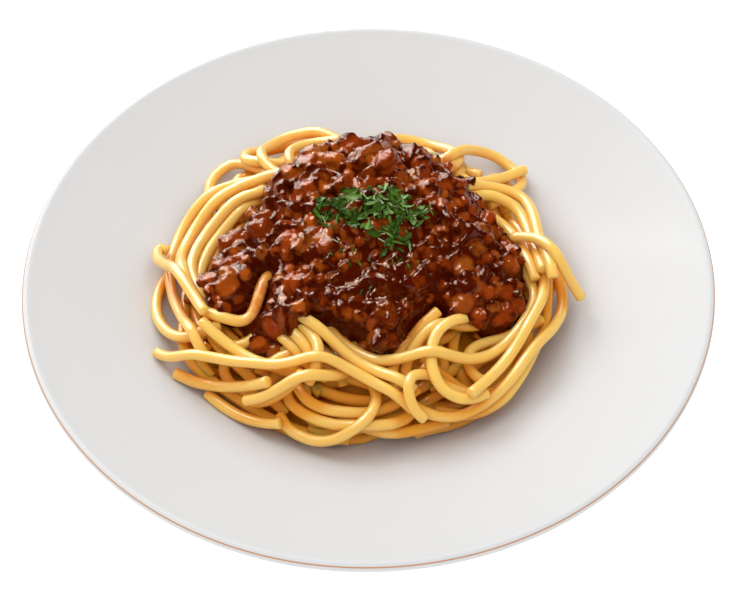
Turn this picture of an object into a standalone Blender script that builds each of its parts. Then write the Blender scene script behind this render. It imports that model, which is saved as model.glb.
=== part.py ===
"""Spaghetti bolognese on its wide-rimmed pasta plate.

Four solids that rest on each other: the glazed plate, the nest of spaghetti in its well, the
meat sauce ladled over the nest, and the pinch of chopped parsley on top. The origin is the
centre of the foot ring's underside, +Z is up, and -Y is the side that a diner sits at.
Everything above the plate is laid out on one polar grid that is centred on the peak of the
nest, so that each layer follows the one under it with an even gap.
"""

import math

import bmesh
import bpy
from mathutils import Vector

MM = 0.001

# The plate, in millimetres: a flat well floor, a wall, a rounded shoulder and a dished rim.
PLATE_RADIUS = 115.0
FLOOR_HEIGHT = 6.6
PLATE_SLOPES = ((44.0, 0.0), (57.0, 0.58), (69.0, 0.60), (79.0, 0.36), (110.0, 0.47))
LIP_THICKNESS = 3.6
BODY_THICKNESS = 4.4
FOOT_HEIGHT = 2.6
FOOT_OUTER = 50.0
FOOT_INNER = 45.0
TURNS = 60

# The nest: where it peaks, how high it stands, and how thick one boiled strand is.
PEAK = Vector((3.0, 15.0))
NEST_TOP = 43.0
STRAND = 3.5
NEST_ROUNDNESS = 2.1
NEST_SHOULDER = 0.78
# The uneven outline, with the loops and loose ends that lie out on the shoulder of the plate.
NEST_EDGE = (
    (63, 9), (72, 1), (62, -9), (57, -22), (48, -36), (34, -47), (17, -54), (-2, -57), (-20, -55),
    (-37, -48), (-52, -38), (-68, -27), (-69, -12), (-70, 2), (-66, 16), (-62, 30), (-56, 46),
    (-43, 60), (-27, 69), (-8, 71), (13, 71), (29, 67), (40, 60), (52, 52), (57, 36), (62, 20),
)
BUNDLE_PITCH = 12.0
BUNDLE_RELIEF = 1.1
BUNDLE_TWIST = 2.0

# The sauce: a thick blanket with an edge that has run down between the strands.
SAUCE_EDGE = (
    (54, -4), (49, 12), (40, 27), (34, 42), (24, 55), (9, 60), (-8, 58), (-21, 56), (-32, 44),
    (-38, 29), (-46, 14), (-58, 0), (-57, -10), (-46, -19), (-31, -26), (-18, -22), (-5, -28),
    (7, -33), (17, -24), (31, -20), (42, -23), (52, -17),
)
SAUCE_DEPTH = 7.0
SAUCE_EDGE_DEPTH = 2.2
LUMP_RELIEF = 1.2

PARSLEY_DEPTH = 2.4
PARSLEY_EDGE_DEPTH = 0.9

# The shared grid: shares of the way from the peak to the sauce's edge, then on to the nest's edge.
PARSLEY_RINGS = (0.11, 0.22, 0.32)
SAUCE_RINGS = PARSLEY_RINGS + (0.43, 0.54, 0.65, 0.76, 0.86, 0.94, 1.0)
SKIRT_RINGS = (0.1, 0.2, 0.3, 0.4, 0.5, 0.6, 0.7, 0.8, 0.89, 0.96, 1.0)
BASE_RINGS = (0.2, 0.42, 0.62, 0.78, 0.9)
LAYER_GAP = 0.4


def plate_surface(radius):
    """Height of the plate's upper face at a radius: the slopes between the stations, summed up."""
    height = FLOOR_HEIGHT
    for (start, slope), (end, next_slope) in zip(PLATE_SLOPES, PLATE_SLOPES[1:]):
        if radius <= start:
            break
        run = min(radius, end) - start
        slope_there = slope + (next_slope - slope) * run / (end - start)
        height += run * (slope + slope_there) / 2
    last_station, last_slope = PLATE_SLOPES[-1]
    return height + max(0.0, radius - last_station) * last_slope


def plate_profile():
    """Half section of the plate, from the centre of the well out over the lip to the centre below."""
    stations = (0, 22, 44, 48, 53, 58, 64, 69, 72, 75, 79, 88, 96, 103, 109)
    upper = [(r, plate_surface(r)) for r in stations]
    lip_radius = LIP_THICKNESS / 2
    lip_centre = (PLATE_RADIUS - lip_radius, plate_surface(PLATE_RADIUS - lip_radius) - lip_radius)
    lip = []
    for degrees in (105, 75, 45, 15, -15, -45, -75):
        angle = math.radians(degrees)
        lip.append((lip_centre[0] + lip_radius * math.cos(angle), lip_centre[1] + lip_radius * math.sin(angle)))
    lip.insert(3, (PLATE_RADIUS, lip_centre[1]))
    lower = [(r, plate_surface(r) - BODY_THICKNESS) for r in (104, 92, 79, 70, 62)]
    recess = FLOOR_HEIGHT - BODY_THICKNESS
    foot = [(FOOT_OUTER + 2.5, 3.2), (FOOT_OUTER, 0), (FOOT_INNER, 0), (FOOT_INNER - 1.2, recess), (0, recess)]
    return upper + lip + lower + foot


def smooth_radius(edge):
    """Distance from the peak to a closed edge, as a function of the angle, through its points."""
    polar = sorted((math.atan2(y - PEAK.y, x - PEAK.x), math.hypot(x - PEAK.x, y - PEAK.y)) for x, y in edge)

    def radius(angle):
        angle = (angle + math.pi) % math.tau - math.pi
        after = next((i for i, (a, _) in enumerate(polar) if a > angle), len(polar))
        knots = []
        for i in range(after - 2, after + 2):
            turns, index = divmod(i, len(polar))
            knots.append((polar[index][0] + turns * math.tau, polar[index][1]))
        (a0, r0), (a1, r1), (a2, r2), (a3, r3) = knots
        slope1, slope2 = (r2 - r0) / (a2 - a0), (r3 - r1) / (a3 - a1)
        span = a2 - a1
        t = (angle - a1) / span
        return (
            r1 * (1 + 2 * t) * (1 - t) ** 2
            + slope1 * span * t * (1 - t) ** 2
            + r2 * t * t * (3 - 2 * t)
            + slope2 * span * t * t * (t - 1)
        )

    return radius


NEST_RADIUS = smooth_radius(NEST_EDGE)
SAUCE_RADIUS = smooth_radius(SAUCE_EDGE)


def place(angle, radius):
    """Plan position, in millimetres, of a grid point that lies out from the peak."""
    return PEAK + radius * Vector((math.cos(angle), math.sin(angle)))


def nest_surface(angle, radius):
    """Height of the nest: a mound with the twisted relief of its bundles of strands."""
    share = min(1.0, radius / NEST_RADIUS(angle))
    edge_height = plate_surface(place(angle, NEST_RADIUS(angle)).length) + STRAND
    mound = edge_height + (NEST_TOP - edge_height) * (1 - share**NEST_ROUNDNESS) ** NEST_SHOULDER
    ridge = math.cos(math.tau * radius / BUNDLE_PITCH + BUNDLE_TWIST * math.sin(2 * angle) + angle)
    fade = min(1.0, 4 * share) * min(1.0, 5 * (1 - share))
    return mound + BUNDLE_RELIEF * ridge * fade


def lumps(angle, radius):
    """Uneven relief of the minced meat, from two sets of waves that cross."""
    x, y = place(angle, radius)
    return LUMP_RELIEF * (math.sin(x / 2.3 + 1.7 * math.sin(y / 5.1)) * math.sin(y / 2.9 + 1.1 * math.sin(x / 6.3)))


def sauce_surface(angle, share):
    """Height of the sauce's upper face at a share of the way out to its edge."""
    radius = share * SAUCE_RADIUS(angle)
    depth = SAUCE_EDGE_DEPTH + (SAUCE_DEPTH - SAUCE_EDGE_DEPTH) * math.sqrt(1 - share**3)
    return nest_surface(angle, radius) + LAYER_GAP + depth + lumps(angle, radius)


def parsley_surface(angle, share):
    """Height of the parsley's upper face; share 1 is the pinch's own edge."""
    depth = PARSLEY_EDGE_DEPTH + (PARSLEY_DEPTH - PARSLEY_EDGE_DEPTH) * (1 - share * share)
    return sauce_surface(angle, share * PARSLEY_RINGS[-1]) + LAYER_GAP + depth


def glaze(name, colour, roughness, coat=0.0):
    """A material for one piece."""
    material = bpy.data.materials.new(name)
    material.use_nodes = True
    shader = material.node_tree.nodes["Principled BSDF"]
    shader.inputs["Base Color"].default_value = (*colour, 1.0)
    shader.inputs["Roughness"].default_value = roughness
    shader.inputs["Coat Weight"].default_value = coat
    return material


def add_object(name, mesh, material):
    """Links a finished mesh to the scene as a smooth-shaded object of its own."""
    obj = bpy.data.objects.new(name, mesh)
    bpy.context.scene.collection.objects.link(obj)
    mesh.materials.append(material)
    mesh.shade_smooth()
    return obj


def add_plate():
    """The turned plate: its half section, spun by a Screw modifier."""
    mesh = bpy.data.meshes.new("plate")
    points = [(r * MM, 0.0, z * MM) for r, z in plate_profile()]
    edges = [(i, i + 1) for i in range(len(points) - 1)]
    mesh.from_pydata(points, edges, [])
    plate = add_object("plate", mesh, glaze("glazed_porcelain", (0.86, 0.85, 0.84), 0.12, 0.6))
    spin = plate.modifiers.new("turn", "SCREW")
    spin.steps = TURNS
    spin.render_steps = TURNS
    spin.use_merge_vertices = True
    spin.merge_threshold = 1e-5
    return plate


def ring_of(bm, radius_at, height_at):
    """One closed ring of grid points round the peak."""
    ring = []
    for step in range(TURNS):
        angle = math.tau * step / TURNS
        x, y = place(angle, radius_at(angle))
        ring.append(bm.verts.new(Vector((x, y, height_at(angle))) * MM))
    return ring


def fill_rings(bm, centre, rings):
    """Faces from a centre point out through each ring in turn, all turned the same way."""
    for step in range(TURNS):
        after = (step + 1) % TURNS
        bm.faces.new((centre, rings[0][step], rings[0][after]))
        for inner, outer in zip(rings, rings[1:]):
            bm.faces.new((inner[step], outer[step], outer[after], inner[after]))


def add_layer(name, top, bottom, material):
    """A closed layer from two stacks of rings. Each stack is (centre height, [(radius, height), ...])."""
    bm = bmesh.new()
    stacks = []
    for centre_height, rings in (top, bottom):
        centre = bm.verts.new(Vector((PEAK.x, PEAK.y, centre_height)) * MM)
        stacks.append((centre, [ring_of(bm, radius, height) for radius, height in rings]))
    for centre, rings in stacks:
        fill_rings(bm, centre, rings)
    edges = [stack[1][-1] for stack in stacks]
    for step in range(TURNS):
        after = (step + 1) % TURNS
        bm.faces.new((edges[0][step], edges[1][step], edges[1][after], edges[0][after]))
    bmesh.ops.triangulate(bm, faces=bm.faces[:])
    bmesh.ops.recalc_face_normals(bm, faces=bm.faces[:])
    mesh = bpy.data.meshes.new(name)
    bm.to_mesh(mesh)
    bm.free()
    return add_object(name, mesh, material)


def sauce_ring(share):
    """Radius function of a ring inside the sauce's edge."""
    return lambda angle: share * SAUCE_RADIUS(angle)


def skirt_ring(share):
    """Radius function of a ring between the sauce's edge and the nest's edge."""
    return lambda angle: SAUCE_RADIUS(angle) + share * (NEST_RADIUS(angle) - SAUCE_RADIUS(angle))


def base_ring(share):
    """Radius function of a ring under the nest."""
    return lambda angle: share * NEST_RADIUS(angle)


def on_nest(radius_at, lift=0.0):
    """Height function that follows the nest along a ring."""
    return lambda angle: nest_surface(angle, radius_at(angle)) + lift


def on_plate(radius_at):
    """Height function that follows the plate along a ring."""
    return lambda angle: plate_surface(place(angle, radius_at(angle)).length) + LAYER_GAP


def add_spaghetti():
    """The nest of strands as one solid, out to its uneven outline."""
    radii = [sauce_ring(share) for share in SAUCE_RINGS] + [skirt_ring(share) for share in SKIRT_RINGS]
    top = (nest_surface(0.0, 0.0), [(radius, on_nest(radius)) for radius in radii])
    under = [base_ring(share) for share in BASE_RINGS] + [skirt_ring(1.0)]
    bottom = (plate_surface(PEAK.length) + LAYER_GAP, [(radius, on_plate(radius)) for radius in under])
    return add_layer("spaghetti", top, bottom, glaze("boiled_pasta", (0.86, 0.62, 0.26), 0.35, 0.3))


def add_meat_sauce():
    """The sauce as one solid that lies on the nest."""
    top_rings = []
    bottom_rings = []
    for share in SAUCE_RINGS:
        radius = sauce_ring(share)
        top_rings.append((radius, lambda angle, share=share: sauce_surface(angle, share)))
        bottom_rings.append((radius, on_nest(radius, LAYER_GAP)))
    top = (sauce_surface(0.0, 0.0), top_rings)
    bottom = (nest_surface(0.0, 0.0) + LAYER_GAP, bottom_rings)
    return add_layer("meat_sauce", top, bottom, glaze("meat_ragu", (0.16, 0.035, 0.015), 0.25, 0.5))


def add_parsley():
    """The pinch of chopped parsley as one low heap on the sauce."""
    top_rings = []
    bottom_rings = []
    for share in PARSLEY_RINGS:
        radius = sauce_ring(share)
        own_share = share / PARSLEY_RINGS[-1]
        top_rings.append((radius, lambda angle, own_share=own_share: parsley_surface(angle, own_share)))
        bottom_rings.append((radius, lambda angle, share=share: sauce_surface(angle, share) + LAYER_GAP))
    top = (parsley_surface(0.0, 0.0), top_rings)
    bottom = (sauce_surface(0.0, 0.0) + LAYER_GAP, bottom_rings)
    return add_layer("parsley", top, bottom, glaze("chopped_leaf", (0.04, 0.13, 0.03), 0.5))


def main():
    for obj in list(bpy.data.objects):
        bpy.data.objects.remove(obj)
    add_plate()
    add_spaghetti()
    add_meat_sauce()
    add_parsley()


main()
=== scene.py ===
"""Spaghetti bolognese on a wide-rimmed porcelain plate: the finish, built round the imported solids.

The nest is laid as a cook's fork leaves it. A heap remembers how high each spot already stands,
every new strand sags on to that heap along its own route, and the heap rises under it. The sauce is
a blanket of gravy with single crumbs of mince pressed into it, run together into one wet skin. The
parsley is cut leaf, flake by flake. Routes, outlines and heights are in millimetres and turn into
metres only where a mesh is made. +X is the diner's right and -Y is the diner's side.
"""

import math

import bpy
import numpy as np
from bpy.props import FloatProperty, FloatVectorProperty, IntProperty, PointerProperty
from mathutils import Matrix, Vector, noise
from mathutils.bvhtree import BVHTree
from mathutils.kdtree import KDTree


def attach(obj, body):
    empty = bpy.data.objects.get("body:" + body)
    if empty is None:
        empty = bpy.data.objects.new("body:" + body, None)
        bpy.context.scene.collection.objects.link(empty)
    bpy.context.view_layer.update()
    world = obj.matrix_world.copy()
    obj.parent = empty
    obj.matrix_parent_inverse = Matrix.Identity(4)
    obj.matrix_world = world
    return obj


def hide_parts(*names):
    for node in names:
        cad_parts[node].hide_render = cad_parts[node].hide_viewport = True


bl_info = {
    "name": "Spaghetti Bolognese",
    "version": (1, 0, 0),
    "blender": (4, 5, 0),
    "location": "View3D > Sidebar > Pasta",
    "description": "Lays a served plate of spaghetti bolognese, strand by strand",
    "category": "Add Mesh",
}

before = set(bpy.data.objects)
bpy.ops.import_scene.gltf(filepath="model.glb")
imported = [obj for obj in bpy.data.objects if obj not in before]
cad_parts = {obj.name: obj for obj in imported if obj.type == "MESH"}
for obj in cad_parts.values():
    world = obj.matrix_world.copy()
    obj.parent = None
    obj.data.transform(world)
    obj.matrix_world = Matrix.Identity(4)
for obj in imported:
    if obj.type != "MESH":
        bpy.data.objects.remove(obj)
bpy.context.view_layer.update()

MM = 0.001

# The nest's peak in plan: outlines and layers are worked out round it.
PEAK = np.array((3.0, 15.0))

# The plate's section, as in the solid: slopes between stations, out from the flat well.
PLATE_SLOPES = ((44.0, 0.0), (57.0, 0.58), (69.0, 0.60), (79.0, 0.36), (110.0, 0.47))

# Heights are kept on one square grid that covers the nest, and outlines at even bearings.
GRID_HALF = 82.0
GRID_STEP = 0.5
BEARINGS = 180

# Distance between the points of a strand's line.
ROUTE_STEP = 1.2

# Rays that find where a thing lands start this high, in metres.
DROP_HEIGHT = 1.0
DOWN = Vector((0, 0, -1))

# Where a strand comes up through the sauce: it parts the left lobe from the rest, and one end
# lies bare on the front edge.
PARTINGS = (
    ((-45, -19.8), (-41.6, -19.8), (-38.6, -18.2), (-36.8, -14.6), (-35.7, -11.2), (-34.6, -7.6),
     (-33.4, -4.6)),
    ((14.4, -25.4), (17, -23.4), (20.2, -21.4), (22.6, -19.6)),
)

# Strands that show, from the lowest to the topmost, as points in plan. Each is one strand's own
# lie, so its points are chosen one by one. A third number lifts the strand off the heap.
LOWER_ROUTES = (
    # the outermost arc in front, low on the plate
    ((-10, -47), (-5, -50), (0, -51.6), (5, -52.2), (10, -51.8), (15, -50.8), (20, -49.4), (25, -47.4)),
    ((-27, -39), (-26, -42.4), (-23, -45.6), (-19, -48), (-15, -49.8), (-10, -51.6), (-4, -52.6),
     (2, -52.4), (7, -51.2), (11, -49.2), (14, -46)),
    ((-24, -37), (-22.6, -40.4), (-20.4, -43.2), (-16.6, -45.6), (-11, -47.2), (-5, -47.8), (1, -47),
     (7, -45), (12, -42)),
    # arcs at the right that run up from the front
    ((17, -30.6), (21.4, -34.4), (26, -37.3), (30, -39), (34, -39.6), (38, -38.4), (43, -34), (47, -28),
     (50, -20)),
    ((17, -35), (22, -39), (27.4, -41.4), (33, -42.2), (38, -41), (43, -37.5), (48, -32), (51.5, -25),
     (53, -17)),
    ((22, -44), (27.4, -46.4), (33, -46.6), (38, -45.2), (43.5, -42), (48, -37), (51.8, -31),
     (55, -24.5), (58, -17), (59.5, -9), (60, 0)),
    ((9, -44), (15.4, -47.6), (22, -49.4), (29, -49.2), (35, -46.8), (41, -42.8), (46.4, -37.6),
     (50.2, -32.8), (53.4, -28.6), (56.4, -24.6), (59.6, -20), (62.4, -14.6), (64.4, -9.5), (65.2, -4),
     (64.6, 2),
     (62.5, 9), (60, 15)),
    # the loop that swings out to the left, and the arc under the sauce's left lobe
    ((-55, -16.5), (-51.7, -20), (-49, -22.9), (-45.7, -25), (-42.2, -25.3), (-38.8, -24), (-36.3, -21.6),
     (-34, -18.6), (-30.6, -15), (-26, -11)),
    ((-66, 15), (-69.4, 10), (-71.2, 4), (-71.6, -2), (-70.4, -8), (-67.4, -14), (-63.6, -18.6),
     (-59.4, -21),
     (-54.5, -21.4), (-49, -20)),
    ((-35.6, -31.6), (-32.5, -30.2), (-30, -28.8), (-26, -26)),
    ((-33.4, -33.4), (-29, -31.3), (-25.8, -30.2), (-22, -27)),
    ((-54.5, -20.6), (-51.8, -23.2), (-49, -25.4), (-44, -28.8), (-40, -31.6), (-36, -33.9), (-31.6, -35.4),
     (-27, -35.6), (-22, -34.6)),
)
MIDDLE_ROUTES = (
    # the left flank, from the sauce outwards
    ((-34, 34), (-40.6, 29), (-46.6, 23.4), (-50.6, 19), (-53.6, 14.6), (-55.8, 9), (-56.6, 3), (-55, -4)),
    ((-30, 36), (-38.5, 32), (-43.6, 29.8), (-47.6, 27), (-51.4, 23.4), (-55, 19), (-57.8, 14),
     (-59.2, 8), (-58.6, 1.6),
     (-56.2, -5), (-53, -10.4)),
    ((-29, 38.6), (-33.6, 40), (-38, 40.2), (-43, 39.6), (-48, 37), (-52.6, 33.6), (-56.6, 29.8), (-60, 25),
     (-62.4, 19), (-63.2, 12.4), (-62.4, 5), (-60.4, -2.3), (-57, -10.4), (-53.8, -15.4), (-50.4, -17.9),
     (-46.4, -19.4), (-42.4, -19.8), (-39.2, -18.7, 0.8), (-37.2, -15.8, 2.2), (-35.9, -12, 3.6),
     (-34.7, -8, 4.4), (-33.2, -4.2, 3.6), (-31, 0, 0)),
    ((-40, 44.5), (-45, 43.6), (-50.4, 41), (-55.4, 38), (-60, 34.6), (-63.6, 30), (-66, 24.4), (-67.4, 18),
     (-67.6, 12), (-67.2, 7.6), (-66.4, 2.6), (-65.2, -2.8), (-63.2, -9), (-60.6, -16), (-58.2, -21.8),
     (-55.9, -26), (-54.1, -28.5)),
    ((-68.4, 18.6), (-70.6, 19.4), (-71.6, 17), (-71, 13), (-69.6, 10), (-67.2, 6), (-64, 0.8),
     (-59.9, -7.2),
     (-56, -14.4), (-53.6, -19)),
    # the front left strands that drop out from under the sauce
    ((-31.6, -21.4), (-29.4, -24.6), (-26.6, -28), (-23.6, -31.2), (-20.6, -33.8), (-17.6, -35.6),
     (-14, -37)),
    ((-29, -19), (-26, -24.4), (-23, -28.2), (-20.6, -31.2), (-18.6, -34), (-16, -37.4)),
    ((-28, -14), (-22.4, -23), (-18.4, -28.4), (-16.8, -31.8), (-16.5, -34.6), (-17.1, -37.4),
     (-18, -40.4), (-20, -42.8)),
    # the loop that hangs furthest forward
    ((-29.6, -45.4), (-28, -48.2), (-26, -50.4), (-23, -52.4), (-19.3, -54.4), (-15.3, -55.8),
     (-11.2, -56.4),
     (-7.5, -56), (-4.2, -54.8), (-1.7, -52.8), (0.2, -50.2), (1.4, -47.4), (2, -44.6), (1.6, -41.4),
     (0, -38)),
    ((-53.6, -35.2), (-50, -38.4), (-45.6, -41.7), (-41.4, -44.4), (-37, -46.8), (-33, -48.8),
     (-29.4, -50.2)),
    ((-38, -41.2), (-34, -43), (-29.2, -43.4), (-25, -42.8), (-21.6, -41.8)),
    ((-40.5, -43), (-35, -44.6), (-29.6, -45), (-24.4, -44.7), (-20, -44), (-16, -42.8), (-12.4, -41),
     (-9.4, -38.8),
     (-7, -36)),
    ((-64, -29.4), (-61, -31), (-57.4, -32.8), (-53.4, -34.3), (-49, -35.9), (-45.3, -37.2), (-41.4, -38.8),
     (-37, -40.8), (-33, -42.5)),
    ((22.6, -19.6, 5), (20.2, -21.4, 4.2), (17, -23.4, 2.4), (13.8, -25.8), (10.9, -28.4), (9, -31.3),
     (8.1, -34), (7.6, -36.5), (7.4, -38.8),
     (8, -41), (9.6, -43.2)),
    ((45, -14), (37, -18.6), (31.4, -21), (27.3, -22), (23, -23.8), (19, -26.2), (16.5, -28),
     (14.2, -30.4), (12.6, -33), (11.8, -35.8),
     (12, -38.4), (13.2, -41), (15.4, -43.4)),
)
UPPER_ROUTES = (
    # the long strands that lie across the front
    ((-70.4, -22), (-66.3, -25.8), (-62, -27.9), (-57.8, -29.8), (-53.6, -31.3), (-49, -32.4), (-44, -34),
     (-39.2, -35.6), (-35, -36.8), (-30.8, -37.6), (-26.8, -37.9), (-22.8, -37.9), (-19.4, -37.7),
     (-14, -37.8),
     (-9.3, -38.4), (-5.2, -39.6), (-1.4, -41.2), (2.4, -43.2), (6, -45.2), (9.8, -47.6), (13.6, -50.2)),
    ((-26.6, -17.4), (-24.4, -20.4), (-21.4, -23.2), (-17.6, -25.9), (-13.6, -28.6), (-9.4, -31.6),
     (-5.3, -34.5), (-1.4, -36.9),
     (2.4, -39), (6.2, -41.2), (10, -43.4), (14, -46)),
    ((21.6, -40), (19.6, -40.2), (16.4, -41.2), (13.6, -43.4), (12.3, -46.6), (12.7, -50),
     (14.4, -52.8), (17.2, -54.2)),
    ((36, -17), (30.6, -21.4), (26.6, -24.4), (23.4, -27), (21.3, -29.8), (20.2, -33.2), (20, -36.3),
     (20, -38.8), (20.6, -41.6),
     (22.2, -44.7), (25, -46.7), (29, -47.6), (33.4, -46.8), (37.6, -44.6)),
    ((57, -15), (52.6, -18), (48, -20.5), (43.4, -22.2), (38.8, -23.7), (35.4, -25.2), (33, -27.4),
     (32.2, -30), (32.6, -32.7),
     (34, -35.4), (36.2, -37.3), (39.4, -37.6)),
    ((-18, -14), (-14.6, -19.8), (-11.6, -24), (-8.6, -26.8), (-4.5, -29.9), (-0.4, -32.6), (3.5, -34.5),
     (8, -35.4),
     (12.4, -35.8), (17.2, -36.1), (21.8, -36.2), (26.6, -35.5), (32, -33.9), (37, -31.7), (41.2, -28.9),
     (45.2, -25.6), (48.8, -22), (51.8, -17.6), (53.8, -13), (55, -8.6), (54.8, -4.6), (53.2, 0), (50, 5)),
    ((32.4, -47.8), (35.4, -44.4), (38.4, -40.6), (41.4, -36.8), (44.3, -33.2), (47, -29.6), (49.7, -25.8),
     (52.3, -21.5), (54.9, -16.5), (56.8, -12), (58, -7.6), (58.5, -3.5), (57.9, 2), (56.4, 8), (54.6, 14),
     (53, 20), (50, 26)),
    # the right flank
    ((26, 24), (33.2, 26.4), (38, 26), (42.2, 25), (46, 22.6), (49, 18.6), (51.2, 13.4), (52.4, 7.6),
     (53.8, 2.2), (55.4, -4)),
    ((27, 24), (35, 29.6), (40.6, 31.8), (45, 31.6), (49.4, 29.8), (52.6, 25.8), (54.2, 20.6),
     (55.2, 15.4), (56, 10),
     (57, 4.4), (58, -2)),
    ((24, 22), (32.6, 31), (37.6, 34.8), (42.8, 36.3), (47.7, 36.3), (51.6, 35), (54.5, 32), (56.2, 27),
     (57, 20.4),
     (57.4, 13.6), (58.4, 7.6), (60, 0.6), (61, -6)),
    ((71, -6.2), (67.6, -4.2), (64.8, -2.2), (62.2, 0.6), (59.2, 4.4), (56, 8.2), (52.6, 11), (49, 13)),
)
BACK_ROUTES = (
    ((6, 65), (14, 68), (20, 67.6), (25.4, 65.4), (30, 61.8), (32.6, 57.4), (32.2, 52.4), (29, 47),
     (24, 43)),
    ((22, 47), (28, 50), (31.8, 53.4), (36, 57.6), (41, 60), (46.2, 59.6), (50.6, 56.6), (53.6, 53),
     (54.6, 49), (53.6, 45), (51, 41), (47, 36), (42, 31)),
    ((55.6, 51.2), (50.4, 48), (45.6, 44.6), (41, 41.6), (36, 38.6), (30, 35)),
    ((-42, 27), (-49, 33), (-53.4, 39), (-55, 45), (-54.8, 50.4), (-53, 54.6), (-50, 57.6), (-46.4, 58.4),
     (-42.6, 56.4), (-39.6, 53), (-36, 49.4), (-31.8, 45), (-25, 40)),
    ((-16, 66), (-20.6, 67.6), (-26, 67.4), (-33, 65), (-38.4, 61.6), (-42, 58), (-41.8, 54), (-38, 51.2),
     (-33, 50), (-28, 50), (-20, 50)),
    ((-28, 40), (-33, 45), (-35.8, 49.6), (-36.2, 54), (-34, 59.4), (-30.4, 64.2), (-26, 67), (-20.4, 68),
     (-15, 66.6), (-8, 62)),
    ((-24, 44), (-26, 48), (-26.4, 53), (-23, 57.6), (-17, 60), (-9, 60)),
)


def linear(hex_colour):
    """An sRGB hex colour as linear red, green and blue."""
    channels = [int(hex_colour[i : i + 2], 16) / 255 for i in (1, 3, 5)]
    return tuple(c / 12.92 if c <= 0.04045 else ((c + 0.055) / 1.055) ** 2.4 for c in channels)


def colour_property(name, description, hex_colour):
    return FloatVectorProperty(
        name=name, description=description, subtype="COLOR", size=3, min=0, max=1, default=linear(hex_colour)
    )


def length_property(name, description, millimetres):
    return FloatProperty(
        name=name, description=description, subtype="DISTANCE", unit="LENGTH", min=0, default=millimetres * MM
    )


def count_property(name, description, count):
    return IntProperty(name=name, description=description, default=count, min=0)


def power_property(name, description, watts):
    return FloatProperty(name=name, description=description, unit="POWER", min=0, default=watts)


class PlateSettings(bpy.types.PropertyGroup):
    radius: length_property("Radius", "Outer radius of the rim", 115.0)
    floor_height: length_property("Well height", "Height of the well's floor above the table", 6.6)
    lip_thickness: length_property("Lip", "Thickness of the rounded lip", 3.6)
    body_thickness: length_property("Body", "Thickness of the plate under its rim and well", 4.4)
    glaze: colour_property("Glaze", "Colour of the white glaze", "#D1D1D1")
    # Painted reflection: the tan hair line on the lip stands for a brown table mirrored in it.
    table_reflection: colour_property("Edge band", "Colour of the hair line round the lip", "#C08A62")


class PastaSettings(bpy.types.PropertyGroup):
    strand_diameter: length_property("Strand", "Diameter of one boiled strand", 3.8)
    under_strands: count_property("Under strands", "Tries to fill up under the nest", 420)
    over_strands: count_property("Over strands", "Tries to finish the back", 160)
    seed: count_property("Seed", "Start of the chance lie of the filling strands", 7)
    dough: colour_property("Pasta", "Colour of boiled durum wheat", "#FAC968")
    # Painted shade: the deeper, darker orange-yellow of strands buried under others in the nest.
    buried_shade: colour_property("Oiled", "Colour of strands down in the nest, soaked with oil", "#EA9808")
    stain: colour_property("Stain", "Colour that the sauce's oil gives to the pasta", "#D9741C")


class SauceSettings(bpy.types.PropertyGroup):
    crumb_low: length_property("Smallest crumb", "Smallest crumb of mince", 3.2)
    crumb_high: length_property("Largest crumb", "Largest crumb of mince", 7.8)
    crumbs: count_property("Crumbs", "Number of crumbs of mince", 700)
    skin: length_property("Skin", "Size of detail that the gravy runs over", 0.61)
    seed: count_property("Seed", "Start of the chance places of the crumbs", 3)
    gravy: colour_property("Gravy", "Colour of the reduced tomato gravy", "#4A1002")
    meat: colour_property("Mince", "Colour of the browned mince under its gravy", "#B04711")
    fat: colour_property("Pale mince", "Colour of the palest crumbs", "#B4621F")
    carrot: colour_property("Vegetable", "Colour of the diced carrot and tomato", "#C25C16")


class ParsleySettings(bpy.types.PropertyGroup):
    flakes: count_property("Flakes", "Cut leaf flakes in the pinch", 380)
    scattered: count_property("Scattered", "Flakes that fell beside the pinch", 46)
    seed: count_property("Seed", "Start of the chance places of the flakes", 11)
    leaf: colour_property("Leaf", "Colour of the leaf's upper face", "#47661A")
    rib: colour_property("Rib", "Colour of ribs and stalks", "#A9B98C")


class StageSettings(bpy.types.PropertyGroup):
    floor: colour_property("Floor", "Colour of the plain floor", "#FFFFFF")
    key_power: power_property("Key light", "Power of the soft light behind", 5.0)
    fill_power: power_property("Fill light", "Power of the overhead light", 10.2)
    front_power: power_property("Front light", "Power of the weak light in front", 0.6)
    sheen_power: power_property("Sheen panel", "Power of the panel that is seen only in gloss", 74.0)
    glint_power: power_property("Glint strip", "Power of the strip that is seen only in gloss", 12.0)


SETTINGS = (
    ("plate_settings", PlateSettings),
    ("pasta_settings", PastaSettings),
    ("sauce_settings", SauceSettings),
    ("parsley_settings", ParsleySettings),
    ("stage_settings", StageSettings),
)


# Materials


def new_material(name):
    material = bpy.data.materials.new(name)
    material.use_nodes = True
    return material, material.node_tree, material.node_tree.nodes["Principled BSDF"]


def add_node(tree, kind, settings=(), links=()):
    """Adds a node. A key of settings is an input's number or name, or a property written with a dot
    in front; links are (input of the new node, output socket) pairs."""
    node = tree.nodes.new(kind)
    for key, value in dict(settings).items():
        if isinstance(key, str) and key.startswith("."):
            setattr(node, key[1:], value)
        else:
            node.inputs[key].default_value = value
    for key, socket in dict(links).items():
        tree.links.new(socket, node.inputs[key])
    return node


def rgba(colour):
    return (*colour, 1.0)


def tint(colour, factor):
    """A colour made lighter or darker by a factor."""
    return tuple(min(1.0, c * factor) for c in colour)


def per_metre(millimetres):
    """Noise scale that gives features of a real size."""
    return 1.0 / (millimetres * MM)


def set_inputs(shader, values):
    """Sets the even values of a shader."""
    for name, value in values.items():
        shader.inputs[name].default_value = value


def add_relief(tree, shader, place, size, strength, depth, detail=2.0):
    """Fine relief, with features of a size and a depth in millimetres."""
    fineness = {"Scale": per_metre(size), "Detail": detail}
    grain = add_node(tree, "ShaderNodeTexNoise", fineness, {"Vector": place})
    height = {"Strength": strength, "Distance": depth * MM}
    bump = add_node(tree, "ShaderNodeBump", height, {"Height": grain.outputs["Fac"]})
    tree.links.new(bump.outputs["Normal"], shader.inputs["Normal"])


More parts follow.
